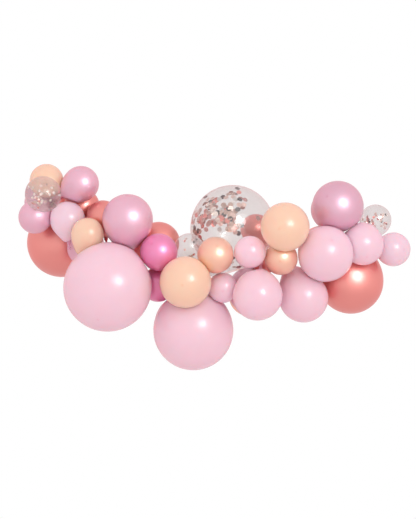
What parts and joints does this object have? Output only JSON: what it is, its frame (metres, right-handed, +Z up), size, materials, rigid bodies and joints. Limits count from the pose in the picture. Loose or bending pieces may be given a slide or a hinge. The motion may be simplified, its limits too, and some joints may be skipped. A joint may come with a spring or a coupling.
{
  "type": "balloon garland",
  "caption": "Hanging garland of latex balloons in pink, mauve, peach and rose gold, with clear confetti balloons among them, tied to a clear decorating strip.",
  "frame": {"origin": "on the back face of the strip's left end, beside the eye that the garland hangs by", "axes": "+Z up, +X along the garland from its left end to its right end as seen from the front, front faces -Y"},
  "size_m": [1.3403, 0.5862, 0.7018],
  "materials": {
    "matte_pink": "pale pink latex, satin matte",
    "matte_lilac": "pale lilac-pink latex, satin matte",
    "matte_peach": "peach latex, satin matte",
    "pearl_pink": "pearl pink latex, soft sheen",
    "pearl_mauve": "pearl mauve latex, soft sheen",
    "pearl_peach": "pearl peach latex, soft sheen",
    "hot_pink": "pearl hot pink latex, soft sheen",
    "rose_gold": "metallic rose gold latex, bright sheen",
    "clear_latex": "clear latex, glossy",
    "clear_strip": "clear polyethylene strip"
  },
  "bodies": {
    "root": {"peach_top_left": "matte_peach", "confetti_small_left": "clear_latex", "pearl_pink_top_left": "pearl_pink", "pearl_pink_far_left": "pearl_pink", "mauve_far_left_behind": "pearl_mauve", "lilac_left": "matte_lilac", "rose_gold_big_left": "rose_gold", "rose_gold_small_left": "rose_gold", "rose_gold_left_middle": "rose_gold", "peach_small_left": "matte_peach", "mauve_left_behind": "pearl_mauve", "pearl_pink_left_middle": "pearl_pink", "pink_big_left": "matte_pink", "rose_gold_middle": "rose_gold", "hot_pink_front": "hot_pink", "hot_pink_behind": "hot_pink", "peach_middle": "matte_peach", "clear_small_middle": "clear_latex", "pearl_peach_middle": "pearl_peach", "confetti_big": "clear_latex", "pink_small_middle": "matte_pink", "peach_right_middle": "matte_peach", "pearl_peach_right": "pearl_peach", "pink_small_low": "matte_pink", "mauve_low_behind": "pearl_mauve", "pink_low_middle": "matte_pink", "pink_low_right": "matte_pink", "pink_right": "matte_pink", "rose_gold_right_behind": "rose_gold", "mauve_top_right": "pearl_mauve", "mauve_top_right_behind": "pearl_mauve", "confetti_small_right": "clear_latex", "pink_far_right": "matte_pink", "lilac_far_right": "matte_lilac", "rose_gold_big_right": "rose_gold", "pink_big_bottom": "matte_pink", "rose_gold_back_middle": "rose_gold", "rose_gold_small_middle": "rose_gold", "pink_back_left": "matte_pink", "peach_back_left": "matte_peach", "pearl_pink_back_low": "pearl_pink", "pink_back_middle": "matte_pink", "pearl_peach_back_low": "pearl_peach", "lilac_back_right": "matte_lilac", "peach_back_right": "matte_peach", "strip_middle": "clear_strip", "strip_end_left": "clear_strip", "strip_end_right": "clear_strip"}
  },
  "joints": []
}
